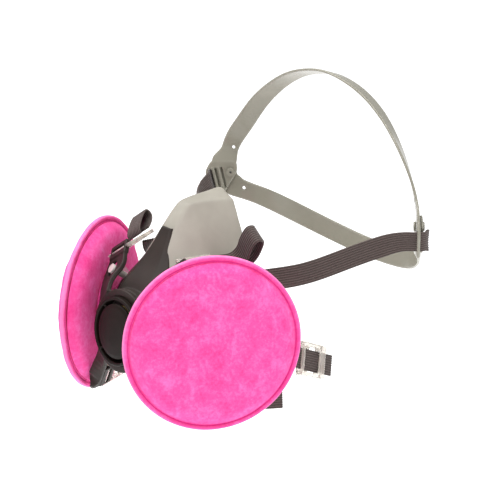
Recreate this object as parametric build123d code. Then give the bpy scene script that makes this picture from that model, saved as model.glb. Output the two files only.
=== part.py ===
from build123d import *

import math
import os

# Half-mask respirator with two pancake filters and a head harness.
# Units are millimetres, +Z is up and the wearer faces -Y, so +X is the wearer's left.
# Sizes are written from the middle of the exhalation cover. FACE_CENTRE is the middle of
# the face opening in those sizes, and every piece is shifted so that it is the origin.
FACE_CENTRE = (0, 76, 12)
SIDES = {"left": 1, "right": -1}
FIT = 0.1
TOUCH = 0.05

# Facepiece: half outlines from nose to chin, mirrored in X, front wall to face edge.
WALL = 2.8
SEAL_LIP = 7
FRONT_OUTLINE = [(0, 16, 22), (9, 15, 20), (17, 13, 12), (21, 12, 0), (17, 11, -13), (9, 10, -21), (0, 10, -24)]
PORT_OUTLINE = [(0, 37, 52), (6, 36, 50), (19, 29, 27), (25, 24, 0), (22, 22, -19), (12, 18, -30), (0, 16, -33)]
CHEEK_OUTLINE = [(0, 52, 69), (4.5, 51.5, 68.8), (31, 48, 30), (41, 56, 0), (35, 48, -24), (19, 40, -38), (0, 36, -43)]
EDGE_OUTLINE = [(0, 80, 74), (12, 80, 68), (27, 80, 34), (46, 86, 0), (42, 82, -24), (25, 72, -42), (0, 64, -50)]

# Exhalation valve, measured back along its own axis from the cover's face.
VALVE_TILT = 6
COVER_RADIUS = 20.3
COVER_RIM = 2
DISC_RADIUS = 16.2
COVER_DEPTH = 6.65
COVER_RIBS = 4
SEAT_TOP = -6.7
SEAT_BACK = -9.5
VALVE_BORE = 16.6
COLLAR_RADIUS = 24.5
COLLAR_TOP = -6.7
COLLAR_BACK = -11
YOKE_RING_TOP = -3.6
FLAP_THICKNESS = 0.6
STEM_RADIUS = 1.5

# Front frame: half sections (edge x, ridge x, front y, edge set-back, z) down the nose peak.
FRAME_WALL = 2.4
PEAK_SECTIONS = [
    (4.5, 3.2, 38, 1.2, 56),
    (8.5, 5.6, 31.5, 3, 45),
    (14, 8.6, 23.5, 5, 34),
    (19.5, 12, 15, 7.5, 24),
    (23, 14, 9.5, 9.5, 14),
]

# Filter ports and filters, measured along the port axis from the filter's middle.
FILTER_X = 53
FILTER_Y = 29.4
PORT_ANGLE = 62.8
FILTER_RADIUS = 52
PAD_RADIUS = 48.5
PAD_HALF = 9
MEDIA = 2.4
RIM_HALF = 1.3
HUB_RADIUS = 19
HUB_FLANGE = 24
HUB_TOP = -9.1
HUB_BACK = -17.4
GASKET_BACK = -18.5
FLANGE_RADIUS = 19.5
FLANGE_BACK = -20.95
BARREL_RADIUS = 14.1
BARREL_BORE = 11.6
BARREL_TOP = -10.8
BARREL_BACK = -27
LUG_RADIUS = 16.1
LUG_ARC = 30
LUGS = 3
UNLOCK_TURN = 60
RING_RADIUS = 17.3

# Yoke arms and the buckles on their ends.
ARM_THICKNESS = 3.4
SLOT_LENGTH = 12.4
SLOT_WIDTH = 3.2
TIP_WIDTH = 15.8
BAR_RADIUS = 1.1
BUCKLE_LENGTH = 22
BUCKLE_RAIL = 1.9
BUCKLE_THICKNESS = 2.2
BUCKLE_WIDTH = 20.4
UPPER_SLOT = (31, 28.1, 37.1)
UPPER_BAR = (-0.82, 0.09, 0.55)
UPPER_BUCKLES = {1: (0.34, 0.9, -0.18), -1: (0.31, 0.94, 0.09)}
UPPER_ARM = (0.31, 0.61, 0.73)
LOWER_SLOT = (34, 19, -38.5)
LOWER_BAR = (-0.53, -0.115, 0.84)
LOWER_BUCKLE = (0.22, 0.97, 0.03)
POST_PLACE = (27, 20.2, 27.6)
POST_REACH = 12.5
POST_RADIUS = 2
POST_HEAD = 2.9

# Elastic webbing and the moulded head cradle.
STRAP_WIDTH = 12.7
STRAP_THICKNESS = 1.4
BAND_WIDTH = 12.4
BAND_THICKNESS = 1.6
PLATE_PLACES = {1: (89.5, 155, 49), -1: (93, 155, 49)}
PLATE_OUTLINE = [(5, 12.5), (9.6, 3.5), (6.8, -8.4), (5.2, -13), (-2, -13), (-4.7, -7.4), (-11.5, 3.8), (-10.5, 12.5)]
PLATE_THICKNESS = 2
PLATE_LEAN = 14
PLATE_SLOTS = 3
PLATE_SLOT = (2.4, 14)
PLATE_SLOT_FRONT = 5.4
PLATE_PITCH = 3.8
BAND_OFFSET = 2.2
EYE_PLACE = (-4, -1.25)
EYE_SIZE = (14, 19.5)
STUD_RADIUS = 2
STUD_BORE = 0.8
STUD_HEAD = 2.8
STUD_PLACE = (-7.2, 3.5)
CLASP_SIZE = (18, 20)
CLASP_PLACE = (50.3, 105.8, -27.2)
CLASP_ALONG = (-0.076, 0.917, -0.389)


def unit(values):
    return Vector(*values).normalized()


def mirrored(values, side):
    return (values[0] * side, values[1], values[2])


def skin(rings):
    """A closed solid of triangles through rings of equal point counts.

    The two halves of each ring are cut on opposite diagonals, so a thin slab keeps its
    thickness where it twists. The ends are strips between the halves.
    """
    rings = [[Vector(*point) for point in ring] for ring in rings]
    count = len(rings[0])
    corners = []
    for near, far in zip(rings, rings[1:]):
        for i in range(count):
            j = (i + 1) % count
            if i < count // 2:
                corners += [(near[i], near[j], far[j]), (near[i], far[j], far[i])]
            else:
                corners += [(near[i], near[j], far[i]), (near[j], far[j], far[i])]
    for ring in (rings[0], rings[-1]):
        for i in range(count // 2 - 1):
            j = count - 1 - i
            corners += [(ring[i], ring[i + 1], ring[j]), (ring[i + 1], ring[j - 1], ring[j])]
    faces = [Face(Wire.make_polygon(three, close=True)) for three in corners]
    solid = Solid(Shell(faces))
    if solid.volume < 0:
        solid = Solid(solid.wrapped.Reversed())
    return Part() + solid


def ribbon(stations, width, thickness):
    """A flat strap through (place, direction across) stations."""
    places = [Vector(*place) for place, _ in stations]
    rings = []
    for i, (_, across) in enumerate(stations):
        along = (places[min(i + 1, len(places) - 1)] - places[max(i - 1, 0)]).normalized()
        out = along.cross(unit(across)).normalized()
        wide = out.cross(along).normalized() * (width / 2)
        thick = out * (thickness / 2)
        middle = places[i]
        rings.append([middle + wide + thick, middle - wide + thick, middle - wide - thick, middle + wide - thick])
    return skin(rings)


def disc(plane, radius, low, high, bore=0):
    """A round slab or ring between two heights along a plane's normal."""
    shape = plane * Pos(0, 0, (low + high) / 2) * Cylinder(radius, high - low)
    if bore:
        shape -= plane * Pos(0, 0, (low + high) / 2) * Cylinder(bore, high - low + 2)
    return shape


def block(plane, centre, size):
    return plane * Pos(*centre) * Box(*size)


def sector(plane, inner, outer, low, high, middle, arc):
    """A piece of a ring, arc degrees wide, about the middle angle."""
    reach = outer * 2
    half = math.radians(arc / 2)
    wedge = Polyline((0, 0), (reach, -reach * math.tan(half)), (reach, reach * math.tan(half)), close=True)
    cut = plane * Rot(0, 0, middle) * Pos(0, 0, low - 1) * extrude(make_face(wedge), high - low + 2)
    return disc(plane, outer, low, high, inner) & cut


def lathe(plane, profile):
    """Turns (radius, height) points once round a plane's normal."""
    outline = Plane.XZ * make_face(Polyline(*profile, close=True))
    return plane * revolve(outline, Axis.Z)


def valve_plane():
    tilt = math.radians(VALVE_TILT)
    return Plane(origin=(0, 0, 0), x_dir=(1, 0, 0), z_dir=(0, -math.cos(tilt), math.sin(tilt)))


def port_plane(side):
    angle = math.radians(PORT_ANGLE)
    outward = (side * math.sin(angle), -math.cos(angle), 0)
    return Plane(origin=(side * FILTER_X, FILTER_Y, 0), x_dir=(0, 0, 1), z_dir=outward)


def full_ring(half):
    """Closes a nose-to-chin half outline with its mirror image."""
    return half + [(-x, y, z) for x, y, z in reversed(half[1:-1])]


def pulled_in(half, inset, back):
    """A half outline moved towards the mask's long axis and backwards."""
    axis_z = 8
    moved = []
    for x, y, z in half:
        reach = math.hypot(x, z - axis_z)
        scale = (reach - inset) / reach
        moved.append((x * scale, y + back, axis_z + (z - axis_z) * scale))
    return moved


def face_seal():
    """Elastomer facepiece: a cup with a turned-in lip, a front hole and two side holes."""
    outer = [full_ring(half) for half in (FRONT_OUTLINE, PORT_OUTLINE, CHEEK_OUTLINE, EDGE_OUTLINE)]
    inner = [
        full_ring(pulled_in(EDGE_OUTLINE, SEAL_LIP, 1)),
        full_ring(pulled_in(CHEEK_OUTLINE, WALL, WALL)),
        full_ring(pulled_in(PORT_OUTLINE, WALL, WALL)),
        full_ring(pulled_in(FRONT_OUTLINE, WALL, WALL)),
    ]
    cup = skin(outer + inner)
    valve = valve_plane()
    cup += disc(valve, 20, -14, COLLAR_BACK - FIT)
    cup -= disc(valve, COLLAR_RADIUS + FIT, COLLAR_BACK - FIT, 8)
    cup -= disc(valve, VALVE_BORE, -22, 0)
    for side in SIDES.values():
        port = port_plane(side)
        cup += disc(port, 20, -25, -21)
        cup -= disc(port, 21, -21, 0)
        cup -= disc(port, RING_RADIUS + 0.5, -31, -25)
        cup -= disc(port, BARREL_RADIUS + FIT, -34, 0)
    return cup


def front_frame():
    """Hard nose peak and valve collar over the front of the facepiece."""
    rings = []
    for edge, ridge, front, back, z in PEAK_SECTIONS:
        outer = [(-edge, front + back, z), (-ridge, front, z), (ridge, front, z), (edge, front + back, z)]
        inner = [(x, y + FRAME_WALL, z - 1) for x, y, _ in reversed(outer)]
        rings.append(outer + inner)
    valve = valve_plane()
    frame = skin(rings) - disc(valve, COLLAR_RADIUS - 1, -40, 20)
    frame += disc(valve, COLLAR_RADIUS, COLLAR_BACK, COLLAR_TOP)
    frame -= disc(valve, COVER_RADIUS + FIT, -40, 20)
    for side in SIDES.values():
        frame -= disc(port_plane(side), FLANGE_RADIUS + 1, -24, 0)
    return frame


def exhalation_cover():
    valve = valve_plane()
    cover = disc(valve, COVER_RADIUS, -COVER_DEPTH, 0, COVER_RADIUS - COVER_RIM)
    dome = [(0, -1.2), (0, 1), (8, 0.8), (14, 0.3), (DISC_RADIUS, -0.6), (DISC_RADIUS, -1.8), (14, -1.2)]
    cover += lathe(valve, dome)
    for turn in range(COVER_RIBS):
        angle = 45 + turn * 360 / COVER_RIBS
        reach = COVER_RADIUS - COVER_RIM / 2 - DISC_RADIUS + 1
        rib = valve * Rot(0, 0, angle) * Pos(DISC_RADIUS - 1 + reach / 2, 0, -1.6) * Box(reach, 1.4, 1.2)
        cover += rib
    return cover


def exhalation_seat():
    """Valve seat with four spokes and the hub that guides the flap's stem."""
    valve = valve_plane()
    seat = disc(valve, COVER_RADIUS, SEAT_BACK, SEAT_TOP, 12.5)
    seat += disc(valve, VALVE_BORE - FIT, -15, SEAT_BACK, 14)
    seat += disc(valve, 3.4, SEAT_BACK, SEAT_TOP)
    for angle in (0, 90):
        seat += valve * Rot(0, 0, angle) * Pos(0, 0, (SEAT_BACK + SEAT_TOP) / 2) * Box(27, 1.8, SEAT_TOP - SEAT_BACK)
    return seat - disc(valve, STEM_RADIUS + FIT, -20, 0)


def exhalation_flap():
    valve = valve_plane()
    top = SEAT_TOP + FLAP_THICKNESS + TOUCH
    flap = disc(valve, 14.6, SEAT_TOP + TOUCH, top)
    flap += disc(valve, STEM_RADIUS, -13, top)
    return flap + disc(valve, 2.3, -13, -11.4)


def port_body(side):
    """Bayonet barrel with lugs outside, a flange and the spokes that carry the flap's pin."""
    port = port_plane(side)
    body = disc(port, FLANGE_RADIUS, FLANGE_BACK, GASKET_BACK - TOUCH)
    body += disc(port, BARREL_RADIUS, BARREL_BACK, BARREL_TOP)
    body -= disc(port, BARREL_BORE, BARREL_BACK - 1, BARREL_TOP + 1)
    for turn in range(LUGS):
        body += sector(port, BARREL_RADIUS - 0.5, LUG_RADIUS, -13.4, -11.6, turn * 360 / LUGS, LUG_ARC)
    body += disc(port, 2.6, -25, -22.6)
    for angle in (0, 90):
        body += port * Rot(0, 0, angle) * Pos(0, 0, -23.8) * Box(2 * BARREL_BORE + 1, 1.6, 2.4)
    body += disc(port, 1.2, -30.4, -25)
    return body + disc(port, 2.2, -30.4, -29.6)


def port_ring(side):
    """Ring inside the cup that clamps the elastomer against the port's flange."""
    return disc(port_plane(side), RING_RADIUS, BARREL_BACK, -25.05, BARREL_RADIUS + FIT)


def port_gasket(side):
    return disc(port_plane(side), 18.4, GASKET_BACK, HUB_BACK - FIT, BARREL_RADIUS + FIT)


def inhalation_flap(side):
    return disc(port_plane(side), 13, BARREL_BACK - FLAP_THICKNESS - TOUCH, BARREL_BACK - TOUCH, 1.3)


def filter_hub(side):
    """Bayonet socket on the back of the filter, with a lug groove and entry slots."""
    port = port_plane(side)
    hub = disc(port, HUB_RADIUS, HUB_BACK, HUB_TOP) + disc(port, HUB_FLANGE, HUB_TOP - 1.2, HUB_TOP)
    hub -= disc(port, BARREL_RADIUS + FIT, HUB_BACK - 1, HUB_TOP + 1)
    hub -= disc(port, LUG_RADIUS + FIT, -13.5, HUB_TOP - 1.2)
    for turn in range(LUGS):
        angle = UNLOCK_TURN + turn * 360 / LUGS
        hub -= sector(port, BARREL_RADIUS - 1, LUG_RADIUS + FIT, HUB_BACK - 1, -13, angle, LUG_ARC + 4)
    return hub


def filter_front(side):
    port = port_plane(side)
    deep = PAD_HALF - MEDIA
    outer = [(0, PAD_HALF), (36, PAD_HALF), (44, 7), (PAD_RADIUS, RIM_HALF + FIT)]
    inner = [(45.5, RIM_HALF + FIT), (42, deep - 2.2), (35, deep), (0, deep)]
    return lathe(port, outer + inner)


def filter_back(side):
    port = port_plane(side)
    deep = PAD_HALF - MEDIA
    outer = [(16.5, -PAD_HALF), (36, -PAD_HALF), (44, -7), (PAD_RADIUS, -RIM_HALF - FIT)]
    inner = [(45.5, -RIM_HALF - FIT), (42, 2.2 - deep), (35, -deep), (16.5, -deep)]
    return lathe(port, outer + inner)


def filter_rim(side):
    return disc(port_plane(side), FILTER_RADIUS, -RIM_HALF, RIM_HALF, 44.2)


def filter_spacer(side):
    """Flat perforated disc that keeps the two media discs apart."""
    port = port_plane(side)
    plate = disc(port, 44.1, -0.8, 0.8)
    for turn in range(8):
        plate -= port * Rot(0, 0, turn * 45) * Pos(28, 0, 0) * Cylinder(7.5, 6)
    return plate


def slot_plane(side, place, bar, along):
    """Plane at a yoke slot: x across the strap, y away from the mask, z outwards."""
    across = unit(mirrored(bar, side)) * -side
    out = across.cross(unit(mirrored(along, side))).normalized()
    return Plane(origin=mirrored(place, side), x_dir=across, z_dir=out)


def yoke_tip(plane):
    """Arm end that carries the buckle's slot."""
    return block(plane, (0, -0.4, 0), (TIP_WIDTH, 9.2, ARM_THICKNESS))


def yoke_cuts(plane):
    slot = block(plane, (0, 0, 0), (SLOT_LENGTH, SLOT_WIDTH, 12))
    hole = plane * Rot(0, 90, 0) * Cylinder(BAR_RADIUS + FIT, TIP_WIDTH + 6)
    return [slot, hole]


def harness_yoke():
    """Ring round the valve with two upper and two lower arms."""
    valve = valve_plane()
    yoke = disc(valve, COLLAR_RADIUS, COLLAR_TOP + TOUCH, YOKE_RING_TOP)
    cuts = [disc(valve, COVER_RADIUS + FIT, -20, 20), disc(valve, COLLAR_RADIUS + FIT, -30, COLLAR_TOP + TOUCH)]
    for side in SIDES.values():
        upper = slot_plane(side, UPPER_SLOT, UPPER_BAR, UPPER_ARM)
        lower = slot_plane(side, LOWER_SLOT, LOWER_BAR, LOWER_BUCKLE)
        bar = mirrored(UPPER_BAR, side)
        top = [
            (mirrored((17, 6.2, 15), side), (-side * 0.3, 0.1, 1)),
            (mirrored((22, 11, 20), side), (-side * 0.6, 0.1, 0.8)),
            (mirrored(POST_PLACE, side), bar),
            ((upper * Pos(0, -3, 0)).position, bar),
        ]
        low = [
            (mirrored((16, 3.4, -15), side), (side * 0.7, 0.1, 0.7)),
            (mirrored((22.5, 7, -24), side), (side * 0.75, 0, 0.6)),
            ((lower * Pos(-2.5, -7.5, 0)).position, lower.x_dir),
            ((lower * Pos(-2.5, -3.5, 0)).position, lower.x_dir),
        ]
        yoke += ribbon(top, 15, 2.6) + yoke_tip(upper)
        yoke += ribbon(low, 9, 2.6) + yoke_tip(lower)
        cuts += yoke_cuts(upper) + yoke_cuts(lower)
        post = slot_plane(side, POST_PLACE, UPPER_BAR, UPPER_ARM)
        cuts.append(post * extrude(SlotOverall(11, 7.4, rotation=90), 5, both=True))
    for cut in cuts:
        yoke -= cut
    return yoke


def yoke_post(side, facepiece):
    """Peg on the facepiece whose head stands in the arm's oval hole."""
    plane = slot_plane(side, POST_PLACE, UPPER_BAR, UPPER_ARM)
    return (disc(plane, POST_RADIUS, -POST_REACH, 1) + disc(plane, POST_HEAD, 0.6, 2)) - facepiece


def buckle(side, place, bar, along):
    """Ladder buckle: two rails, a hinge bar in the yoke's slot and three cross bars."""
    plane = slot_plane(side, place, bar, along)
    frame = plane * Rot(0, 90, 0) * Cylinder(BAR_RADIUS, BUCKLE_WIDTH - BUCKLE_RAIL)
    rail_x = (BUCKLE_WIDTH - BUCKLE_RAIL) / 2
    for x in (-rail_x, rail_x):
        frame += block(plane, (x, BUCKLE_LENGTH / 2 - 0.8, 0), (BUCKLE_RAIL, BUCKLE_LENGTH + 1.6, BUCKLE_THICKNESS))
    for y, wide in ((7.2, 1.8), (13.4, 2), (BUCKLE_LENGTH - 1, 2)):
        frame += block(plane, (0, y, 0), (BUCKLE_WIDTH - 1, wide, BUCKLE_THICKNESS))
    return frame


def upper_tail(side, plane):
    """Loop of spare webbing that stands above the upper buckle."""
    if side > 0:
        route = [(19, 2.2), (24, 9), (29.5, 16), (33.5, 22.5), (38, 25), (42, 22.5), (43, 17), (39.5, 11), (32.5, 7), (25, 4.6)]
    else:
        route = [(16.5, 2.2), (17, 5.5), (20.5, 9), (25.5, 11.8), (29.5, 12), (30.8, 9.4), (28.5, 6), (24, 3.9)]
    places = [(plane * Pos(0, along, out)).position for along, out in route]
    return ribbon([(place, plane.x_dir) for place in places], STRAP_WIDTH, STRAP_THICKNESS)


def cradle_plane(side):
    """Plane of a cradle end: x forward and outward, y up."""
    return Plane(origin=plate_point(side, 0, 0, 0), x_dir=(side * 0.766, -0.643, 0), z_dir=(-0.643, -side * 0.766, 0))


def plate_point(side, forward, up, out):
    """A point beside a cradle end, from its middle."""
    x, y, z = PLATE_PLACES[side]
    return (side * (x + 0.766 * forward + 0.643 * out), y - 0.643 * forward + 0.766 * out, z + up)


def slot_point(side, forward, up, out):
    """A point beside a cradle end, along and across its leaning slots."""
    lean = math.radians(PLATE_LEAN)
    across = forward * math.cos(lean) + up * math.sin(lean)
    return plate_point(side, across, up * math.cos(lean) - forward * math.sin(lean), out)


def upper_elastic(side, plane):
    """Webbing from the upper buckle to the cradle, out through a slot in its end plate."""
    if side > 0:
        middle = [(44.5, 64, 29), (50.5, 77, 28.5), (57.5, 94, 30), (67, 115, 36), (79, 136, 43.5)]
    else:
        middle = [(44.5, 64, 30), (50.5, 77, 26), (57.5, 94, 25.3), (67, 115, 31), (90, 137.5, 43)]
    turns = [(-0.6, 0.1, 0.8), (-0.4, 0, 1), (-0.2, 0, 1), (-0.15, 0, 1), (-0.1, 0, 1)]
    stations = [((plane * Pos(0, 27, -4)).position, mirrored(UPPER_BAR, side))]
    stations += [(mirrored(place, side), mirrored(turn, side)) for place, turn in zip(middle, turns)]
    lean = math.radians(PLATE_LEAN)
    upright = (side * 0.766 * math.sin(lean), -0.643 * math.sin(lean), math.cos(lean))
    for forward, up, out in ((PLATE_SLOT_FRONT, -1, -6), (PLATE_SLOT_FRONT, -1, 3), (2, -2, 5.4), (-2.5, -5, 5.6)):
        stations.append((slot_point(side, forward, up, out), upright))
    return ribbon(stations, STRAP_WIDTH, STRAP_THICKNESS)


def clasp_point(side, along):
    """A point on the lower strap's straight end, from the middle of its clasp."""
    return tuple(Vector(*mirrored(CLASP_PLACE, side)) + unit(mirrored(CLASP_ALONG, side)) * along)


def lower_elastic(side):
    """Webbing from the lower buckle to its clasp, with the spare end lying below it."""
    main = [(39.6, 43.4, -37), (45, 60, -31), (50, 79, -23)]
    spare = [(40, 43.2, -39), (44, 56, -41.5), (47, 70, -44), (48.5, 86, -46.5)]
    upright = (-side * 0.25, 0, 1)
    places = [mirrored(place, side) for place in main] + [clasp_point(side, reach) for reach in (-14, -10.5, 20)]
    shape = ribbon([(place, upright) for place in places], STRAP_WIDTH, STRAP_THICKNESS)
    return shape + ribbon([(mirrored(place, side), upright) for place in spare], STRAP_WIDTH, STRAP_THICKNESS)


def neck_clasp(side):
    """Clear half clasp on the end of a lower strap: a frame, a toothed bar and a hook bar."""
    along = unit(mirrored(CLASP_ALONG, side))
    out = along.cross(Vector(-side * 0.25, 0, 1)).normalized() * side
    plane = Plane(origin=mirrored(CLASP_PLACE, side), x_dir=along, z_dir=out)
    long, wide = CLASP_SIZE
    clasp = Part() + Box(long, wide, 5.2) - Box(long - 4, wide - 4.6, 12)
    clasp += Pos(-0.6, 0, -1.9) * Box(2, wide - 2, 1.4)
    clasp -= Box(long + 8, STRAP_WIDTH + 0.8, 2)
    clasp += Pos(long / 2 + 0.6, 0, 2.6) * Rot(90, 0, 0) * Cylinder(1.2, wide - 1)
    return plane * clasp


def crown_leg(side):
    """Stations of the crown band from a cradle end to the top. The left leg stands steeper."""
    leg = [
        ((82, 89.5), 160, 68, (0.72, -0.6, 0.3)),
        ((73.3, 79.5), 162, 83, (0.6, -0.7, 0.35)),
        ((59.5, 66), 164, 100, (0.4, -0.85, 0.4)),
        ((43.4, 50), 165.5, 114, (0.2, -0.92, 0.38)),
        ((28.2, 34), 165.5, 123, (0.1, -0.94, 0.34)),
        ((12.8, 17), 165, 128.3, (0.03, -0.95, 0.31)),
    ]
    stations = [(plate_point(side, -4, 9, 0), mirrored((0.72, -0.62, 0.2), side))]
    for (left, right), y, z, across in leg:
        stations.append((mirrored((left if side > 0 else right, y, z), side), mirrored(across, side)))
    return stations


def cradle_plate(side):
    """Ladder plate at a cradle end, with leaning slots for the elastic webbing."""
    plane = cradle_plane(side)
    plate = plane * extrude(make_face(Polyline(*PLATE_OUTLINE, close=True)), PLATE_THICKNESS / 2, both=True)
    leaning = plane * Rot(0, 0, -PLATE_LEAN)
    for i in range(PLATE_SLOTS):
        plate -= block(leaning, (PLATE_SLOT_FRONT - i * PLATE_PITCH, -1, 0), (*PLATE_SLOT, 6))
    return plate


def stud_plane(side):
    """Plane of a cradle stud: z outward, with the stud's height kept on both sides."""
    forward, up = STUD_PLACE
    return Plane(origin=plate_point(side, forward, up, 0), z_dir=(side * 0.643, 0.766, 0))


def crown_band():
    top = [((0, 165, 130), (0, -0.95, 0.31))]
    band = ribbon(crown_leg(1) + top + crown_leg(-1)[::-1], BAND_WIDTH, BAND_THICKNESS)
    for side in SIDES.values():
        band += cradle_plate(side)
        band -= stud_plane(side) * Cylinder(STUD_RADIUS + TOUCH, 12)
    return band


def rear_leg(side):
    """Stations of the rear band from a cradle end round to the back of the head."""
    leg = [
        ((72.5, 170, 40.2), (76, 170, 38.5), (0, 0, 1)),
        ((57.5, 187, 28.8), (60, 187, 28), (0, 0.25, 1)),
        ((39, 204.5, 15.8), (40, 204.5, 15.5), (0, 0.3, 1)),
        ((20, 214.5, 8), (20, 214.5, 8), (0, 0.33, 1)),
    ]
    stations = []
    for forward, left, right in ((-3, -4.8, -5.5), (-8, -5.4, -6.8), (-13, -6.2, -8.2)):
        stations.append((plate_point(side, forward, left if side > 0 else right, BAND_OFFSET), (0, 0, 1)))
    for left, right, across in leg:
        stations.append((mirrored(left if side > 0 else right, side), across))
    return stations


def rear_band():
    """Band round the back of the head, with a wide eye at each end under the cradle stud."""
    band = ribbon(rear_leg(1) + [((0, 217, 6), (0, 0.35, 1))] + rear_leg(-1)[::-1], BAND_WIDTH, BAND_THICKNESS)
    for side in SIDES.values():
        leaning = cradle_plane(side) * Rot(0, 0, -PLATE_LEAN)
        band += block(leaning, (*EYE_PLACE, -side * BAND_OFFSET), (*EYE_SIZE, BAND_THICKNESS))
        band -= stud_plane(side) * Cylinder(STUD_RADIUS + TOUCH, 14)
    return band


def cradle_stud(side):
    """Hollow rivet that pins the rear band outside the crown band."""
    inner = -PLATE_THICKNESS / 2 - TOUCH
    outer = BAND_OFFSET + BAND_THICKNESS / 2 + TOUCH
    plane = stud_plane(side)
    stud = disc(plane, STUD_RADIUS, inner - 0.5, outer + 0.5)
    stud += disc(plane, STUD_HEAD, outer, outer + 1.2) + disc(plane, STUD_HEAD, inner - 1.2, inner)
    return stud - disc(plane, STUD_BORE, inner - 2, outer + 2)


def pieces():
    """Every node of the respirator, by name."""
    facepiece = face_seal()
    nodes = {
        "face_seal": facepiece,
        "front_frame": front_frame() - facepiece,
        "exhalation_cover": exhalation_cover(),
        "exhalation_seat": exhalation_seat(),
        "exhalation_flap": exhalation_flap(),
        "harness_yoke": harness_yoke(),
        "crown_band": crown_band(),
        "rear_band": rear_band(),
    }
    for name, side in SIDES.items():
        upper = slot_plane(side, UPPER_SLOT, UPPER_BAR, UPPER_BUCKLES[side])
        nodes[name + "_port"] = port_body(side)
        nodes[name + "_port_ring"] = port_ring(side)
        nodes[name + "_port_gasket"] = port_gasket(side)
        nodes[name + "_inhalation_flap"] = inhalation_flap(side)
        nodes[name + "_filter_hub"] = filter_hub(side)
        nodes[name + "_filter_front"] = filter_front(side)
        nodes[name + "_filter_back"] = filter_back(side)
        nodes[name + "_filter_rim"] = filter_rim(side)
        nodes[name + "_filter_spacer"] = filter_spacer(side)
        nodes[name + "_yoke_post"] = yoke_post(side, facepiece)
        nodes[name + "_upper_buckle"] = buckle(side, UPPER_SLOT, UPPER_BAR, UPPER_BUCKLES[side])
        nodes[name + "_lower_buckle"] = buckle(side, LOWER_SLOT, LOWER_BAR, LOWER_BUCKLE)
        nodes[name + "_upper_tail"] = upper_tail(side, upper)
        nodes[name + "_upper_elastic"] = upper_elastic(side, upper)
        nodes[name + "_lower_elastic"] = lower_elastic(side)
        nodes[name + "_neck_clasp"] = neck_clasp(side)
        nodes[name + "_cradle_stud"] = cradle_stud(side)
    return nodes


os.makedirs("parts", exist_ok=True)
for node, shape in pieces().items():
    centre = Vector(*FACE_CENTRE)
    moved = Compound(children=[solid.translate(-centre) for solid in shape.solids()])
    export_step(moved, os.path.join("parts", node + ".step"))
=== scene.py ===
import math

import bmesh
import bpy
import numpy as np
from mathutils import Matrix, Vector, noise


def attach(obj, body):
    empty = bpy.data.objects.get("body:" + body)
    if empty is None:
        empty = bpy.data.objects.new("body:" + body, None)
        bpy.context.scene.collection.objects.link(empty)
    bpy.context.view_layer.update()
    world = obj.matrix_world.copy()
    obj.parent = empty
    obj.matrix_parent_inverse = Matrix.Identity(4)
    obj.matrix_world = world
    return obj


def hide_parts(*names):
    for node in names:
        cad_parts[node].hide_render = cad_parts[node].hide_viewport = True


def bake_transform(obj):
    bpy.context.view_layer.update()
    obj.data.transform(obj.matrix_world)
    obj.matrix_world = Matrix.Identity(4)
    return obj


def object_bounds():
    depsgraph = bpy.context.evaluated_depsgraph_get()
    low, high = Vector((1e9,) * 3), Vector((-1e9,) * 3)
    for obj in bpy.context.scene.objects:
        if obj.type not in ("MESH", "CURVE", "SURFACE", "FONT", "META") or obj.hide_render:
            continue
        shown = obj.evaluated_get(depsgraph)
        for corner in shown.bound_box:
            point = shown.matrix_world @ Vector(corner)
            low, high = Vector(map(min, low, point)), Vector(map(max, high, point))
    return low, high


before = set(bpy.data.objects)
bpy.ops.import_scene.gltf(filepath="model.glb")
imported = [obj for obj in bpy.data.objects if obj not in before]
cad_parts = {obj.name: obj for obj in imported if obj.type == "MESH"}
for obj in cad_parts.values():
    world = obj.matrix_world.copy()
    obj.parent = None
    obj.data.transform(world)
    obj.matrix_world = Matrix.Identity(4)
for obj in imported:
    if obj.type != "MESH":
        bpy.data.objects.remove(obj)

# Looks of a half-mask respirator with two pancake filters and a head harness.
# Shapes are written in millimetres from the middle of the exhalation cover. row() takes a
# place to the frame's own metres, whose origin is the middle of the face opening.
CAD_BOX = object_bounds()
MM = 0.001
FACE_CENTRE = Vector((0, 76, 12))
SIDES = {"left": 1, "right": -1}
ROOT = "facepiece"
CLEARANCE = 0.1
WELD_DISTANCE = 0.00001

# Facepiece: half outlines from nose to chin, front wall to face edge.
WALL = 2.8
LIP_WIDTH = 7
LIP_THICKNESS = 1.9
FRONT_OUTLINE = [
    (0, 16, 22), (9, 15, 20), (17, 13, 12), (21, 12, 0), (17, 11, -13), (9, 10, -21), (0, 10, -24),
]
PORT_OUTLINE = [
    (0, 37, 52), (6, 36, 50), (19, 29, 27), (25, 24, 0), (22, 22, -19), (12, 18, -30), (0, 16, -33),
]
CHEEK_OUTLINE = [
    (0, 52, 69), (4.5, 51.5, 68.8), (31, 48, 30), (41, 56, 0), (35, 48, -24), (19, 40, -38), (0, 36, -43),
]
EDGE_OUTLINE = [
    (0, 80, 74), (12, 80, 68), (27, 80, 34), (46, 86, 0), (42, 82, -24), (25, 72, -42), (0, 64, -50),
]
OUTLINE_AXIS_Z = 8
SKIN_STEPS = 6

# Exhalation valve, measured back along its own axis.
VALVE_TILT = 6
COVER_RADIUS = 20.3
COVER_RIM = 2
DISC_RADIUS = 16.2
COVER_DEPTH = 6.65
COVER_RIBS = 4
VALVE_BORE = 16.6
COLLAR_RADIUS = 24.5
COLLAR_TOP = -6.7
COLLAR_BACK = -11
YOKE_RING_TOP = -3.6
FRAME_WALL = 2.4
# Nose peak from its top down: half widths at the edges and the ridges, front, edge setback, height.
PEAK_SECTIONS = [
    (4.5, 3.2, 38, 1.2, 56),
    (8.5, 5.6, 31.5, 3, 45),
    (14, 8.6, 23.5, 5, 34),
    (19.5, 12, 15, 7.5, 24),
    (23, 14, 9.5, 9.5, 14),
]

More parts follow.
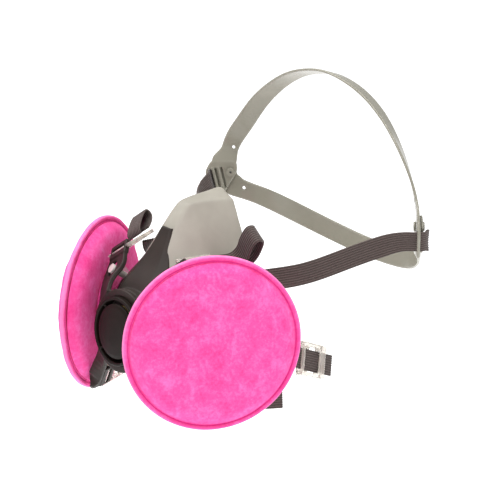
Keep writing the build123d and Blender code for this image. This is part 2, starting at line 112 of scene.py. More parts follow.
# Filters, measured along the port axis from the filter's middle.
FILTER_X = 53
FILTER_Y = 29.4
PORT_ANGLE = 62.8
PAD_RADIUS = 48.5
PAD_HALF = 9
PAD_BACK = 1.2
SEAM_RADIUS = 49
# Outside this radius a painted highlight pales the filter rim's edge.
RIM_HIGHLIGHT_RADIUS = 50.6
FLANGE_RADIUS = 19.5
RING_RADIUS = 17.3
BARREL_RADIUS = 14.1

# Yoke arms, buckles and posts.
ARM_THICKNESS = 3.4
SLOT_LENGTH = 12.4
SLOT_WIDTH = 3.2
TIP_WIDTH = 15.8
BAR_RADIUS = 1.1
UPPER_SLOT = (31, 28.1, 37.1)
UPPER_BAR = (-0.82, 0.09, 0.55)
POST_SLOT = (11, 7.4)
TOP_ARM_THICKNESS = 2.1
LOW_ARM_THICKNESS = 2.6
LOW_ARM_REACH = 4.5
UPPER_BUCKLES = {1: (0.34, 0.9, -0.18), -1: (0.31, 0.94, 0.09)}
UPPER_ARM = (0.31, 0.61, 0.73)
LOWER_SLOT = (34, 19, -38.5)
LOWER_BAR = (-0.53, -0.115, 0.84)
LOWER_BUCKLE = (0.22, 0.97, 0.03)
POST_PLACE = (27, 20.2, 27.6)

# Webbing and the head cradle.
STRAP_WIDTH = 12.7
STRAP_THICKNESS = 1.4
STRAP_RIBS = 9
BAND_WIDTH = 12.4
BAND_THICKNESS = 1.6
PLATE_PLACES = {1: (89.5, 155, 49), -1: (93, 155, 49)}
PLATE_TURN = (0.766, 0.643)  # cosine and sine of 40 degrees
PLATE_OUTLINE = [
    (5.6, 10.5), (9.8, 3), (6.8, -8.4), (5.2, -13), (-2, -13), (-4.7, -7.4), (-11.5, 3.8), (-10.9, 10.5),
]
PLATE_THICKNESS = 2
PLATE_LEAN = 14
PLATE_SLOTS = {5.4: 2.4, 1.6: 1.3, -2.2: 1.3}  # place: width
PLATE_SLOT = 14
PLATE_RUNGS = (3.5, -0.3)
PLATE_MIDDLE = -1
EYE_CORNERS = [(3, -11), (3, 8.5), (-11, 8.5), (-11, -11)]
STUD_PLACE = (-7.2, 3.5)
STUD_RADIUS = 2
CROWN_HOLE = (-8.7, 19.3)
REAR_HOLE = (-15.3, -7.3)
HOLE_RADIUS = 1.1
BAND_OFFSET = 2.2
CLASP_PLACE = (50.3, 105.8, -27.2)
CLASP_ALONG = (-0.076, 0.917, -0.389)

# Stage, light and camera, in metres and degrees. Azimuth turns from straight ahead towards +X.
FLOOR_REACH = 40
FLOOR_DROP = 0.25
WORLD_LIGHT = 0.5
WORLD_BACKDROP = 1.0
CAMERA_TARGET = (0.0403, -0.0078, 0.0334)


# ---- places and lines
def row(point):
    """A place in millimetres, taken to the frame's metres."""
    return (Vector(point) - FACE_CENTRE) * MM


def mirrored(values, side):
    return (values[0] * side, values[1], values[2])


def unit(values):
    return Vector(values).normalized()


def plane(origin, x_dir, z_dir):
    """Matrix, in millimetres, of a plane from its origin, its x direction and its normal."""
    z = unit(z_dir)
    x = Vector(x_dir)
    x = (x - z * x.dot(z)).normalized()
    matrix = Matrix((x, z.cross(x), z)).transposed().to_4x4()
    matrix.translation = Vector(origin)
    return matrix


def valve_plane():
    tilt = math.radians(VALVE_TILT)
    return plane((0, 0, 0), (1, 0, 0), (0, -math.cos(tilt), math.sin(tilt)))


def port_plane(side):
    angle = math.radians(PORT_ANGLE)
    return plane((side * FILTER_X, FILTER_Y, 0), (0, 0, 1), (side * math.sin(angle), -math.cos(angle), 0))


def slot_plane(side, place, bar, along):
    """Plane of a buckle or an arm's tip: x along its bar, y along the webbing."""
    across = unit(mirrored(bar, side)) * -side
    return plane(mirrored(place, side), across, across.cross(unit(mirrored(along, side))))


def cradle_plane(side):
    """Plane of a cradle end: x forward and outward, y up."""
    cosine, sine = PLATE_TURN
    place = Vector(plate_point(side, 0, 0, 0))
    return plane(place, (side * cosine, -sine, 0), (-sine, -side * cosine, 0))


def leaning_plane(side):
    """The cradle end's plane, turned to follow its leaning slots."""
    return cradle_plane(side) @ Matrix.Rotation(math.radians(-PLATE_LEAN), 4, "Z")


def plate_point(side, forward, up, out):
    """A point beside a cradle end, from its middle."""
    x, y, z = PLATE_PLACES[side]
    cosine, sine = PLATE_TURN
    return (side * (x + cosine * forward + sine * out), y - sine * forward + cosine * out, z + up)


def leaned(x, y):
    """(forward, up) of a point written along and across a cradle end's leaning slots."""
    lean = math.radians(PLATE_LEAN)
    return x * math.cos(lean) + y * math.sin(lean), y * math.cos(lean) - x * math.sin(lean)


def clasp_point(side, along):
    """A point on the lower webbing's line through its neck clasp."""
    return tuple(Vector(mirrored(CLASP_PLACE, side)) + unit(mirrored(CLASP_ALONG, side)) * along)


def spline(points, steps):
    """Places on a cubic spline through the points, with the same number of steps in each span."""
    points = np.array(points, float)
    count = len(points)
    lengths = np.maximum(np.linalg.norm(points[1:] - points[:-1], axis=1), 1e-6)
    system = np.zeros((count, count))
    right = np.zeros_like(points)
    system[0, 0] = system[-1, -1] = 1
    for i in range(1, count - 1):
        a, b = lengths[i - 1], lengths[i]
        system[i, i - 1 : i + 2] = a, 2 * (a + b), b
        right[i] = 6 * ((points[i + 1] - points[i]) / b - (points[i] - points[i - 1]) / a)
    bend = np.linalg.solve(system, right)
    places = []
    for i, h in enumerate(lengths):
        for step in range(steps):
            s = step / steps * h
            r = h - s
            places.append(
                (bend[i] * r**3 + bend[i + 1] * s**3) / (6 * h)
                + (points[i] / h - bend[i] * h / 6) * r
                + (points[i + 1] / h - bend[i + 1] * h / 6) * s
            )
    places.append(points[-1])
    return np.array(places)


def evenly(places, spacing):
    """The same line with places at even spacing, and how far along it each one is."""
    steps = np.linalg.norm(np.diff(places, axis=0), axis=1)
    along = np.concatenate([[0], np.cumsum(steps)])
    count = max(int(along[-1] / spacing), 2) + 1
    at = np.linspace(0, along[-1], count)
    return np.stack([np.interp(at, along, places[:, k]) for k in range(places.shape[1])], 1), at


def strap_frame(places, i, wide):
    """(across, out) directions of a strap at one of its places, square to its run."""
    along = Vector(places[min(i + 1, len(places) - 1)] - places[max(i - 1, 0)]).normalized()
    out = along.cross(wide).normalized()
    return out.cross(along).normalized(), out


# ---- meshes
def link(obj):
    bpy.context.scene.collection.objects.link(obj)
    return obj


def mesh_object(name, points, faces, uvs=None):
    """An object from points in millimetres, with outward normals and smooth shading."""
    mesh = bpy.data.meshes.new(name)
    mesh.from_pydata([row(p) for p in points], [], faces)
    if uvs is not None:
        layer = mesh.uv_layers.new(name="UVMap")
        for loop in mesh.loops:
            layer.data[loop.index].uv = uvs[loop.vertex_index]
    editable = bmesh.new()
    editable.from_mesh(mesh)
    bmesh.ops.recalc_face_normals(editable, faces=editable.faces)
    editable.to_mesh(mesh)
    editable.free()
    mesh.shade_smooth()
    return link(bpy.data.objects.new(name, mesh))


def loft(name, rings, uvs=None):
    """A closed skin through rings of equal point counts, capped at both ends."""
    rings = np.array(rings, float)
    rows, columns = rings.shape[:2]
    faces = []
    for i in range(rows - 1):
        near, far = i * columns, (i + 1) * columns
        for j in range(columns):
            k = (j + 1) % columns
            faces.append((near + j, near + k, far + k, far + j))
    faces.append(tuple(range(columns)))
    faces.append(tuple(range((rows - 1) * columns, rows * columns)))
    return mesh_object(name, rings.reshape(-1, 3), faces, uvs)


def lathe(name, matrix, profile, segments=96, closed=True):
    """Turns (radius, height) points round a plane's normal. Points on the axis become one."""
    points, rings, faces = [], [], []
    for radius, height in profile:
        if radius < 1e-6:
            rings.append([len(points)] * segments)
            points.append(matrix @ Vector((0, 0, height)))
            continue
        rings.append(list(range(len(points), len(points) + segments)))
        for i in range(segments):
            turn = 2 * math.pi * i / segments
            points.append(matrix @ Vector((radius * math.cos(turn), radius * math.sin(turn), height)))
    pairs = list(zip(rings, rings[1:]))
    if closed:
        pairs.append((rings[-1], rings[0]))
    for near, far in pairs:
        for i in range(segments):
            j = (i + 1) % segments
            corners = list(dict.fromkeys((near[i], near[j], far[j], far[i])))
            if len(corners) > 2:
                faces.append(corners)
    return mesh_object(name, points, faces)


def disc(matrix, radius, low, high, segments=96):
    """A round slab used while a moulding is put together."""
    return lathe("tool", matrix, [(0, low), (radius, low), (radius, high), (0, high)], segments, closed=False)


def block(matrix, centre, size):
    """A box used while a moulding is put together."""
    corners = []
    for dx in (-0.5, 0.5):
        for dy in (-0.5, 0.5):
            for dz in (-0.5, 0.5):
                offset = Vector((dx * size[0], dy * size[1], dz * size[2]))
                corners.append(matrix @ (Vector(centre) + offset))
    faces = [(0, 1, 3, 2), (4, 6, 7, 5), (0, 4, 5, 1), (2, 3, 7, 6), (0, 2, 6, 4), (1, 5, 7, 3)]
    return mesh_object("tool", corners, faces)


def slot_tool(matrix, length, width, depth):
    """A long hole with round ends, along the plane's y."""
    half, segments = (length - width) / 2, 48
    ring = []
    for i in range(segments):
        turn = 2 * math.pi * i / segments
        y = math.sin(turn) * width / 2
        ring.append((math.cos(turn) * width / 2, y + math.copysign(half, y)))
    rings = [[matrix @ Vector((x, y, z)) for x, y in ring] for z in (-depth, depth)]
    return loft("tool", rings)


def evaluated(obj):
    """Applies an object's modifiers to its mesh."""
    graph = bpy.context.evaluated_depsgraph_get()
    mesh = bpy.data.meshes.new_from_object(obj.evaluated_get(graph))
    obj.modifiers.clear()
    old = obj.data
    obj.data = mesh
    if old.users == 0:
        bpy.data.meshes.remove(old)
    return obj


def cut(obj, tool):
    """Takes a tool away from an object, and removes the tool."""
    modifier = obj.modifiers.new("cut", "BOOLEAN")
    modifier.object = tool
    modifier.operation = "DIFFERENCE"
    modifier.solver = "EXACT"
    bpy.context.view_layer.update()
    evaluated(obj)
    bpy.data.objects.remove(tool)


def joined(name, parts):
    """One object from closed solids, which may overlap until they are remeshed."""
    points, faces = [], []
    for part in parts:
        start = len(points)
        points += [vertex.co.copy() for vertex in part.data.vertices]
        faces += [[start + i for i in polygon.vertices] for polygon in part.data.polygons]
        bpy.data.objects.remove(part)
    mesh = bpy.data.meshes.new(name)
    mesh.from_pydata(points, [], faces)
    return link(bpy.data.objects.new(name, mesh))


def moulded(obj, voxel, smoothing):
    """Merges overlapping solids and rounds every edge as moulding does, by remeshing."""
    remesh = obj.modifiers.new("remesh", "REMESH")
    remesh.mode = "VOXEL"
    remesh.voxel_size = voxel * MM
    smooth = obj.modifiers.new("smooth", "SMOOTH")
    smooth.factor = 0.5
    smooth.iterations = smoothing
    bpy.context.view_layer.update()
    evaluated(obj)
    obj.data.shade_smooth()
    return obj


def copy_of(node, name):
    """A new object with the mesh of a CAD node, welded."""
    obj = link(bpy.data.objects.new(name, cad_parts[node].data.copy()))
    obj.data.materials.clear()
    weld = obj.modifiers.new("weld", "WELD")
    weld.merge_threshold = WELD_DISTANCE
    bpy.context.view_layer.update()
    return evaluated(obj)


def finished(obj, material, body, slot, *nodes):
    """Gives a piece its material, body and the CAD nodes that it stands for. The slot is not used."""
    obj.data.materials.clear()
    obj.data.materials.append(material)
    if body:
        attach(obj, body)
    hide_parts(*nodes)
    return obj


def softened(node, material, width=0.25):
    """A CAD node that stays: its edges are bevelled and it gets a full material."""
    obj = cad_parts[node]
    obj.data.materials.clear()
    obj.data.materials.append(material)
    weld = obj.modifiers.new("weld", "WELD")
    weld.merge_threshold = WELD_DISTANCE
    bevel = obj.modifiers.new("bevel", "BEVEL")
    bevel.width = width * MM
    bevel.segments = 2
    bevel.limit_method = "ANGLE"
    bevel.angle_limit = math.radians(40)
    bevel.harden_normals = True


# ---- materials
def linear(*levels):
    """Linear colour of three display levels from 0 to 255."""
    values = [v / 255 for v in levels]
    return tuple(v / 12.92 if v <= 0.04045 else ((v + 0.055) / 1.055) ** 2.4 for v in values) + (1,)


def new_material(name):
    material = bpy.data.materials.new(name)
    material.use_nodes = True
    tree = material.node_tree
    return material, tree, tree.nodes["Principled BSDF"]


def add_node(tree, kind, inputs=None, **properties):
    """A shader node with its properties set and its inputs linked or set."""
    node = tree.nodes.new(kind)
    for key, value in properties.items():
        setattr(node, key, value)
    for key, value in (inputs or {}).items():
        if hasattr(value, "links"):
            tree.links.new(value, node.inputs[key])
        else:
            node.inputs[key].default_value = value
    return node


def clouds(tree, vector, scale, detail, roughness=0.5, distortion=0):
    inputs = {"Vector": vector, "Scale": scale, "Detail": detail, "Roughness": roughness}
    inputs["Distortion"] = distortion
    return add_node(tree, "ShaderNodeTexNoise", inputs).outputs["Fac"]


def ramp(tree, factor, stops):
    node = add_node(tree, "ShaderNodeValToRGB", {"Fac": factor})
    elements = node.color_ramp.elements
    while len(elements) < len(stops):
        elements.new(0.5)
    for element, (position, colour) in zip(elements, stops):
        element.position = position
        element.color = colour
    return node.outputs["Color"]


def maths(tree, operation, first, second):
    node = add_node(tree, "ShaderNodeMath", operation=operation)
    for i, value in enumerate((first, second)):
        if hasattr(value, "links"):
            tree.links.new(value, node.inputs[i])
        else:
            node.inputs[i].default_value = value
    return node.outputs[0]


def mixed(tree, factor, first, second):
    node = add_node(tree, "ShaderNodeMix", data_type="RGBA")
    for socket, value in ((node.inputs[0], factor), (node.inputs[6], first), (node.inputs[7], second)):
        if hasattr(value, "links"):
            tree.links.new(value, socket)
        else:
            socket.default_value = value
    return node.outputs[2]


def set_surface(tree, shader, colour, roughness, height, strength, distance, **values):
    """Links a colour, a roughness and a bump height, and sets other shader values."""
    tree.links.new(colour, shader.inputs["Base Color"])
    if hasattr(roughness, "links"):
        tree.links.new(roughness, shader.inputs["Roughness"])
    else:
        shader.inputs["Roughness"].default_value = roughness
    bump = add_node(tree, "ShaderNodeBump", {"Height": height, "Strength": strength, "Distance": distance})
    tree.links.new(bump.outputs[0], shader.inputs["Normal"])
    for key, value in values.items():
        shader.inputs[key.replace("_", " ")].default_value = value


def convex_edge_highlight(tree):
    """Rises along convex edges, where a painted highlight lightens a moulding as if its edges caught the
    light.
    """
    point = add_node(tree, "ShaderNodeNewGeometry").outputs["Pointiness"]
    return ramp(tree, point, [(0.52, (0, 0, 0, 1)), (0.6, (1, 1, 1, 1))])


def moulding_material(name, dark, light, edge, rough, grain=1500, grain_depth=0.00006, **values):
    """Moulded plastic or rubber: cloudy tone, fine spark grain, and convex edges lightened by a painted
    highlight in the edge colour.
    """
    material, tree, shader = new_material(name)
    where = add_node(tree, "ShaderNodeTexCoord").outputs["Object"]
    tone = clouds(tree, where, 45, 5)
    colour = ramp(tree, tone, [(0.35, linear(*dark)), (0.65, linear(*light))])
    # Painted highlight: convex edges mix towards the edge colour.
    colour = mixed(tree, maths(tree, "MULTIPLY", convex_edge_highlight(tree), 0.35), colour, linear(*edge))
    fine = clouds(tree, where, grain, 3, 0.6)
    patches = clouds(tree, where, 120, 4)
    roughness = maths(tree, "ADD", maths(tree, "MULTIPLY", patches, 0.16), rough - 0.08)
    set_surface(tree, shader, colour, roughness, fine, 0.6, grain_depth, **values)
    return material


def media_material():
    """Pink nonwoven: clouded tone, matted fibres, a paler fuzzy sheen. Painted shade darkens the seam groove
    and a painted highlight pales the rim's outer edge.
    """
    material, tree, shader = new_material("filter_media")
    where = add_node(tree, "ShaderNodeTexCoord").outputs["Object"]
    large = clouds(tree, where, 90, 5, 0.6, 0.4)
    small = clouds(tree, where, 520, 5, 0.7)
    tone = maths(tree, "ADD", maths(tree, "MULTIPLY", large, 0.5), maths(tree, "MULTIPLY", small, 0.5))
    stops = [(0.34, linear(240, 62, 142)), (0.5, linear(250, 86, 164)), (0.66, linear(255, 118, 192))]
    colour = ramp(tree, tone, stops)
    # The tone attribute carries painted rim shading: low for painted shade in the seam groove, high for a
    # painted highlight on the outer edge.
    seam = add_node(tree, "ShaderNodeAttribute", attribute_name="tone").outputs["Fac"]
    stops = [(0, linear(205, 22, 120)), (0.5, linear(250, 84, 172)), (1, linear(255, 150, 205))]
    shade = ramp(tree, seam, stops)
    weight = ramp(tree, seam, [(0, (0.8,) * 3 + (1,)), (0.5, (0, 0, 0, 1)), (1, (0.6,) * 3 + (1,))])
    colour = mixed(tree, weight, colour, shade)
    grain = {"Vector": where, "Scale": (1, 1, 3.2), "Rotation": (0.5, 0.3, 0.2)}
    stretch = add_node(tree, "ShaderNodeMapping", grain)
    fibres = clouds(tree, stretch.outputs[0], 900, 6, 0.75, 1.2)
    matted = clouds(tree, where, 260, 4, 0.6)
    height = maths(tree, "ADD", maths(tree, "MULTIPLY", fibres, 0.6), matted)
    gloss = {"Sheen_Weight": 0.15, "Sheen_Roughness": 0.5, "Specular_IOR_Level": 0.15}
    set_surface(tree, shader, colour, 0.85, height, 0.55, 0.0003, **gloss)
    shader.inputs["Sheen Tint"].default_value = linear(255, 190, 225)
    return material


def webbing_material(name, dark, light):
    """Knitted elastic: cords along the strap, fine picks across, a faint fuzz, and painted light and shade in
    stripes at the rib spacing.
    """
    material, tree, shader = new_material(name)
    uv = add_node(tree, "ShaderNodeUVMap", uv_map="UVMap").outputs[0]
    along, across = add_node(tree, "ShaderNodeSeparateXYZ", {"Vector": uv}).outputs[:2]
    pick_length, cord_width, rib_width = 0.0009, 0.0007, STRAP_WIDTH * MM / STRAP_RIBS
    picks = maths(tree, "SINE", maths(tree, "MULTIPLY", along, 2 * math.pi / pick_length), 0)
    cords = maths(tree, "SINE", maths(tree, "MULTIPLY", across, 2 * math.pi / cord_width), 0)
    weave = maths(tree, "MULTIPLY", picks, cords)
    # Painted rib shading: lighter and darker stripes across the strap at the rib spacing.
    ribs = maths(tree, "COSINE", maths(tree, "MULTIPLY", across, 2 * math.pi / rib_width), 0)
    ribs = maths(tree, "ADD", maths(tree, "MULTIPLY", ribs, 0.5), 0.5)
    where = add_node(tree, "ShaderNodeTexCoord").outputs["Object"]
    fuzz = clouds(tree, where, 1400, 4, 0.7)
    tone = maths(tree, "ADD", maths(tree, "MULTIPLY", ribs, 0.45), maths(tree, "MULTIPLY", fuzz, 0.55))
    tone = maths(tree, "ADD", tone, maths(tree, "MULTIPLY", weave, 0.1))
    colour = ramp(tree, tone, [(0.2, linear(*dark)), (0.8, linear(*light))])
    height = maths(tree, "ADD", maths(tree, "MULTIPLY", weave, 0.35), maths(tree, "MULTIPLY", fuzz, 0.6))
    gloss = {"Sheen_Weight": 0.25, "Sheen_Roughness": 0.45, "Specular_IOR_Level": 0.25}
    set_surface(tree, shader, colour, 0.8, height, 0.5, 0.0002, **gloss)
    return material


def clear_material():
    """Clear, very slightly ivory plastic with faint flow marks."""
    material, tree, shader = new_material("clear_plastic")
    where = add_node(tree, "ShaderNodeTexCoord").outputs["Object"]
    flow = clouds(tree, where, 160, 4, 0.55, 0.6)
    colour = ramp(tree, flow, [(0.3, linear(234, 227, 216)), (0.7, linear(250, 246, 239))])
    roughness = maths(tree, "ADD", maths(tree, "MULTIPLY", flow, 0.2), 0.12)
    set_surface(tree, shader, colour, roughness, flow, 0.35, 0.0002, Transmission_Weight=0.7, IOR=1.46)
    return material


# ---- facepiece, frame and yoke
def full_ring(half):
    """A half outline and its mirror image, as one ring."""
    return half + [(-x, y, z) for x, y, z in reversed(half[1:-1])]


def pulled_in(half, inset, back):
    """A half outline moved towards the mask's long axis and backwards."""
    moved = []
    for x, y, z in half:
        reach = math.hypot(x, z - OUTLINE_AXIS_Z)
        scale = (reach - inset) / reach
        moved.append((x * scale, y + back, OUTLINE_AXIS_Z + (z - OUTLINE_AXIS_Z) * scale))
    return moved


def drawn_ring(half):
    """A closed ring with straight facets whose corners round off when it is remeshed."""
    ring = np.array(full_ring(half), float)
    facet = np.roll(ring, -1, 0) - ring
    return np.concatenate([ring + facet * k / SKIN_STEPS for k in range(SKIN_STEPS)], 1).reshape(-1, 3)


def facepiece_cup():
    """Elastomer cup: faceted outer skin, rolled lip, thin inner skin, valve and port seats."""
    outer = [drawn_ring(half) for half in (FRONT_OUTLINE, PORT_OUTLINE, CHEEK_OUTLINE, EDGE_OUTLINE)]
    walls = [(EDGE_OUTLINE, -LIP_THICKNESS)]
    walls += [(half, WALL) for half in (CHEEK_OUTLINE, PORT_OUTLINE, FRONT_OUTLINE)]
    inner = [drawn_ring(pulled_in(half, WALL, back)) for half, back in walls]
    lip = [drawn_ring(pulled_in(EDGE_OUTLINE, LIP_WIDTH, back)) for back in (1, 1 - LIP_THICKNESS)]
    rings = []
    # The skin lies halfway between straight facets and a smooth curve.
    curved = spline([ring.ravel() for ring in outer], SKIN_STEPS)
    for i, (near, far) in enumerate(zip(outer, outer[1:])):
        for k in range(SKIN_STEPS):
            straight = near + (far - near) * k / SKIN_STEPS
            rings.append((straight + curved[i * SKIN_STEPS + k].reshape(-1, 3)) / 2)
    rings += [outer[-1]] + lip
    for near, far in zip(inner, inner[1:]):
        rings += [near + (far - near) * k / SKIN_STEPS for k in range(SKIN_STEPS)]
    rings.append(inner[-1])
    valve, ports = valve_plane(), [port_plane(side) for side in SIDES.values()]
    mouth = COLLAR_BACK - CLEARANCE
    boss, boss_back, boss_front = 20, -25, -21
    parts = [loft("skin", rings), disc(valve, boss, -14, mouth)]
    parts += [disc(port, boss, boss_back, boss_front) for port in ports]
    cup = moulded(joined("facepiece_cup", parts), voxel=1, smoothing=12)
    bore, seat = VALVE_BORE, COLLAR_RADIUS + CLEARANCE
    tools = [lathe("tool", valve, [(0, -24), (bore, -24), (bore, mouth), (seat, mouth), (seat, 8), (0, 8)])]
    barrel, ring = BARREL_RADIUS + CLEARANCE, RING_RADIUS + 0.5
    steps = [(0, -34), (barrel, -34), (barrel, -32), (ring, -32), (ring, boss_back), (barrel, boss_back)]
    steps += [(barrel, boss_front), (boss + 1, boss_front), (boss + 1, 0), (0, 0)]
    tools += [lathe("tool", port, steps) for port in ports]
    cut(cup, joined("tools", tools))
    return moulded(cup, voxel=0.8, smoothing=3)


def nose_frame():
    """Hard front frame: two-facet nose peak and the valve's collar."""
    sections = []
    for edge, ridge, front, back, z in PEAK_SECTIONS:
        outer = [(-edge, front + back, z), (-ridge, front, z), (ridge, front, z), (edge, front + back, z)]
        sections.append(outer + [(x, y + FRAME_WALL, z - 1) for x, y, _ in reversed(outer)])
    flow = spline([np.array(section, float).ravel() for section in sections], SKIN_STEPS)
    peak = loft("peak", [ring.reshape(-1, 3) for ring in flow])
    valve = valve_plane()
    cut(peak, disc(valve, COLLAR_RADIUS - 1, -40, 20))
    collar = disc(valve, COLLAR_RADIUS, COLLAR_BACK, COLLAR_TOP)
    peak = moulded(joined("nose_frame_moulding", [peak, collar]), voxel=0.45, smoothing=1)
    tools = [disc(valve, COVER_RADIUS + CLEARANCE, -40, 20)]
    tools += [disc(port_plane(side), FLANGE_RADIUS + 1, -24, 0) for side in SIDES.values()]
    cut(peak, joined("tools", tools))
    return moulded(peak, voxel=0.4, smoothing=2)


def arm_ribbon(stations, thickness, lip=False):
    """A flat arm, or its raised inner lip. A station is (place, across, reach in, reach out)."""
    places = spline([place for place, *_ in stations], 8)
    across = spline([tuple(unit(wide)) for _, wide, *_ in stations], 8)
    reach = spline([(inner, outer, 0) for *_, inner, outer in stations], 8)
    rings = []
    for i, (place, wide) in enumerate(zip(places, across)):
        wide, out = strap_frame(places, i, Vector(wide))
        inner, outer, half = reach[i, 0], reach[i, 1], thickness / 2
        if lip:
            outer, half = 1 - inner, half + 0.4
        profile = [(inner, half), (-outer, half), (-outer, -half), (inner, -half)]
        rings.append([Vector(place) + wide * x + out * y for x, y in profile])
    return loft("tool", rings)


def yoke_moulding():
    """Harness yoke: ring round the valve, two upper and two lower arms with buckle slots."""
    valve = valve_plane()
    bore, seat, under = COVER_RADIUS + CLEARANCE, COLLAR_RADIUS + CLEARANCE, COLLAR_TOP + 0.05
    solids = [disc(valve, COLLAR_RADIUS, under, YOKE_RING_TOP)]
    cuts = [lathe("tool", valve, [(0, -30), (seat, -30), (seat, under), (bore, under), (bore, 20), (0, 20)])]
    hinges = []
    for side in SIDES.values():
        upper = slot_plane(side, UPPER_SLOT, UPPER_BAR, UPPER_ARM)
        lower = slot_plane(side, LOWER_SLOT, LOWER_BAR, LOWER_BUCKLE)
        bar = mirrored(UPPER_BAR, side)
        top = [
            (mirrored((17, 6.2, 15), side), (-side * 0.3, 0.1, 1), 7.5, 7.5),
            (mirrored((22, 11, 20), side), (-side * 0.6, 0.1, 0.8), 9.5, 7.5),
            (mirrored(POST_PLACE, side), bar, 10.8, 7.5),
            (tuple(upper @ Vector((0, -3, 0))), bar, 7.9, 7.7),
        ]
        low = [
            (mirrored((16, 3.4, -15), side), (side * 0.7, 0.1, 0.7)),
            (mirrored((22.5, 7, -24), side), (side * 0.75, 0, 0.6)),
            (tuple(lower @ Vector((-2.5, -7.5, 0))), tuple(lower.col[0].xyz)),
            (tuple(lower @ Vector((-2.5, -3.5, 0))), tuple(lower.col[0].xyz)),
        ]
        low = [(*station, LOW_ARM_REACH, LOW_ARM_REACH) for station in low]
        solids += [arm_ribbon(top, TOP_ARM_THICKNESS), arm_ribbon(top, TOP_ARM_THICKNESS, lip=True)]
        solids.append(arm_ribbon(low, LOW_ARM_THICKNESS))
        for tip in (upper, lower):
            solids.append(block(tip, (0, -0.4, 0), (TIP_WIDTH, 9.2, ARM_THICKNESS)))
            cuts.append(block(tip, (0, 0, 0), (SLOT_LENGTH, SLOT_WIDTH, 12)))
            hinge = tip @ Matrix.Rotation(math.pi / 2, 4, "Y")
            hinges.append(disc(hinge, BAR_RADIUS + CLEARANCE, -TIP_WIDTH, TIP_WIDTH, segments=24))
        cuts.append(slot_tool(slot_plane(side, POST_PLACE, UPPER_BAR, UPPER_ARM), *POST_SLOT, 6))
    yoke = moulded(joined("yoke_moulding", solids), voxel=0.4, smoothing=1)
    cut(yoke, joined("tools", cuts))
    cut(yoke, joined("hinges", hinges))
    return moulded(yoke, voxel=0.38, smoothing=2)


def cover_moulding():
    """Exhalation cover: outer ring, domed disc and the short ribs that join them."""
    valve = valve_plane()
    inner = COVER_RADIUS - COVER_RIM
    ring = [
        (COVER_RADIUS, -COVER_DEPTH), (COVER_RADIUS, -0.5), (COVER_RADIUS - 0.5, 0), (inner + 0.4, 0),
        (inner, -0.4), (inner, -COVER_DEPTH),
    ]
    solids = [lathe("tool", valve, ring, 128)]
    dome = [(0, 1), (8, 0.8), (14, 0.3), (DISC_RADIUS - 0.3, -0.3), (DISC_RADIUS, -0.7)]
    dome += [(DISC_RADIUS, -1.8), (14, -1.4), (0, -1.4)]
    solids.append(lathe("tool", valve, dome, 128, closed=False))
    reach = COVER_RADIUS - COVER_RIM / 2 - DISC_RADIUS + 1
    for turn in range(COVER_RIBS):
        spoke = valve @ Matrix.Rotation(math.radians(45 + turn * 360 / COVER_RIBS), 4, "Z")
        solids.append(block(spoke, (DISC_RADIUS - 1 + reach / 2, 0, -1.6), (reach, 1.4, 1.2)))
    return moulded(joined("exhalation_cover_moulding", solids), voxel=0.3, smoothing=2)


# ---- filters
def pad_profile(hole):
    """(radius, height) of a padded disc, from its middle over the face to its flat back."""
    face = [(hole, PAD_HALF - 0.7), (26, PAD_HALF - 0.6), (36, PAD_HALF - 0.9)]
    face += [(42, 7), (46, 4.3), (PAD_RADIUS, 1.5)]
    start = [(hole, PAD_BACK), (hole, 4)] if hole else []
    face = [tuple(p) for p in spline(face, 5)]
    back = [(radius, PAD_BACK) for radius in ((44, 34, 22) if hole else (44, 34, 22, 0))]
    return start + face + back


def simulated_pad(name, hole):
    """Padded disc about z, in millimetres, puffed by cloth pressure and held at its edge."""
    pad = lathe(name, Matrix.Identity(4), pad_profile(hole), 96, closed=bool(hole))
    offset = row((0, 0, 0))
    rest = np.array([v.co - offset for v in pad.data.vertices])
    radius = np.hypot(rest[:, 0], rest[:, 1]) / MM
    near_hole = (radius < hole + 4) if hole else False
    held = np.where((radius > 46.3) | (rest[:, 2] < (PAD_BACK + 0.1) * MM) | near_hole)[0]
    frames, furthest = 20, 0.9 * MM
    group = pad.vertex_groups.new(name="held")
    group.add([int(i) for i in held], 1, "REPLACE")
    cloth = pad.modifiers.new("cloth", "CLOTH")
    cloth.settings.vertex_group_mass = "held"
    cloth.settings.use_pressure = True
    cloth.settings.uniform_pressure_force = 4
    cloth.settings.effector_weights.gravity = 0
    cloth.settings.tension_stiffness = 40
    cloth.settings.compression_stiffness = 20
    cloth.settings.bending_stiffness = 6
    cloth.settings.quality = 5
    cloth.point_cache.frame_end = frames
    for step in range(1, frames + 1):
        bpy.context.scene.frame_set(step)
    evaluated(pad)
    bpy.context.scene.frame_set(1)
    pad.vertex_groups.clear()
    puffed = np.array([v.co - offset for v in pad.data.vertices])
    move = puffed - rest
    length = np.maximum(np.linalg.norm(move, axis=1, keepdims=True), 1e-9)
    rest = rest + move * np.minimum(1, furthest / length)
    points = [Vector(p) / MM for p in rest]
    faces = [tuple(p.vertices) for p in pad.data.polygons]
    bpy.data.objects.remove(pad)
    return points, faces


def radial_rim_shading(obj, matrix):
    """Writes painted shade in the seam groove and a painted highlight on the rim's outer edge, by distance
    from the filter's axis.
    """
    inverse = matrix.inverted()
    values = []
    for vertex in obj.data.vertices:
        local = inverse @ (vertex.co / MM + FACE_CENTRE)
        radius = math.hypot(local.x, local.y)
        # seam is the painted shade in the groove; pale is the painted highlight on the rounded edge.
        seam = math.exp(-(((radius - SEAM_RADIUS) / 0.65) ** 2))
        pale = max(0.0, min(1.0, radius - RIM_HIGHLIGHT_RADIUS))
        values.append(0.5 - 0.5 * seam + 0.5 * pale)
    attribute = obj.data.attributes.new("tone", "FLOAT", "POINT")
    attribute.data.foreach_set("value", values)


